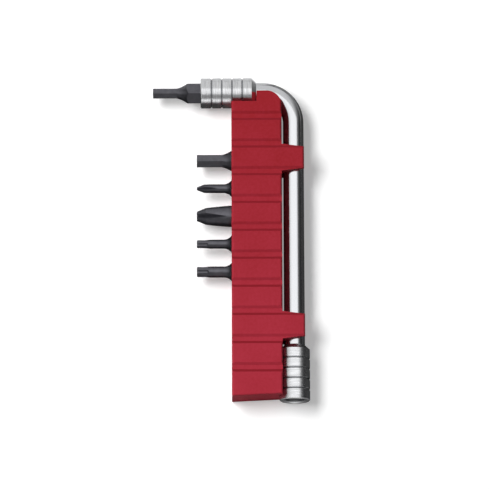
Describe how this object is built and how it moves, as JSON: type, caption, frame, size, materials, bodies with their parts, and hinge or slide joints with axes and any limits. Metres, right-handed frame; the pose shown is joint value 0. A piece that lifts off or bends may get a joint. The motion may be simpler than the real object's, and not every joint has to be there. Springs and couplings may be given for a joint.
{
  "type": "pocket bit wrench with case",
  "caption": "Angled steel bit wrench with a magnetic hexagon socket on each end, clipped along a ribbed plastic case that carries screwdriver bits in its side.",
  "frame": {"origin": "centre of the middle grip ridge in the case's flat back face, on which the object lies", "axes": "+X from the bit side to the clip side, +Y along the case to the bar's bend, +Z out of the front face"},
  "size_m": [0.0504, 0.1068, 0.0109],
  "materials": {
    "red_plastic": "moulded, fine satin",
    "polished_steel": "polished",
    "turned_steel": "turned and plated, satin",
    "magnet_plating": "nickel plated",
    "bit_steel": "dark blasted tool steel"
  },
  "bodies": {
    "case": {"bit_case": "red_plastic"},
    "wrench": {"wrench_bar": "polished_steel", "upper_sleeve": "turned_steel", "lower_sleeve": "turned_steel", "upper_magnet": "magnet_plating", "lower_magnet": "magnet_plating"},
    "small_hex": {"small_hex_bit": "bit_steel"},
    "large_hex": {"large_hex_bit": "bit_steel"},
    "small_cross": {"small_cross_bit": "bit_steel"},
    "large_cross": {"large_cross_bit": "bit_steel"},
    "small_lobe": {"small_lobe_bit": "bit_steel"},
    "large_lobe": {"large_lobe_bit": "bit_steel"}
  },
  "joints": [
    {"name": "wrench_swing", "type": "hinge", "parent": "case", "child": "wrench", "pos_m": [-0.00813, 0.04533, 0.00545], "axis": [0, 0, 1], "range_deg": [0, 30]},
    {"name": "small_hex_slide", "type": "slide", "parent": "wrench", "child": "small_hex", "axis": [-1, 0, 0], "range_m": [0, 0.012]},
    {"name": "large_hex_slide", "type": "slide", "parent": "case", "child": "large_hex", "axis": [-1, 0, 0], "range_m": [0, 0.016]},
    {"name": "small_cross_slide", "type": "slide", "parent": "case", "child": "small_cross", "axis": [-1, 0, 0], "range_m": [0, 0.016]},
    {"name": "large_cross_slide", "type": "slide", "parent": "case", "child": "large_cross", "axis": [-1, 0, 0], "range_m": [0, 0.016]},
    {"name": "small_lobe_slide", "type": "slide", "parent": "case", "child": "small_lobe", "axis": [-1, 0, 0], "range_m": [0, 0.016]},
    {"name": "large_lobe_slide", "type": "slide", "parent": "case", "child": "large_lobe", "axis": [-1, 0, 0], "range_m": [0, 0.016]}
  ]
}
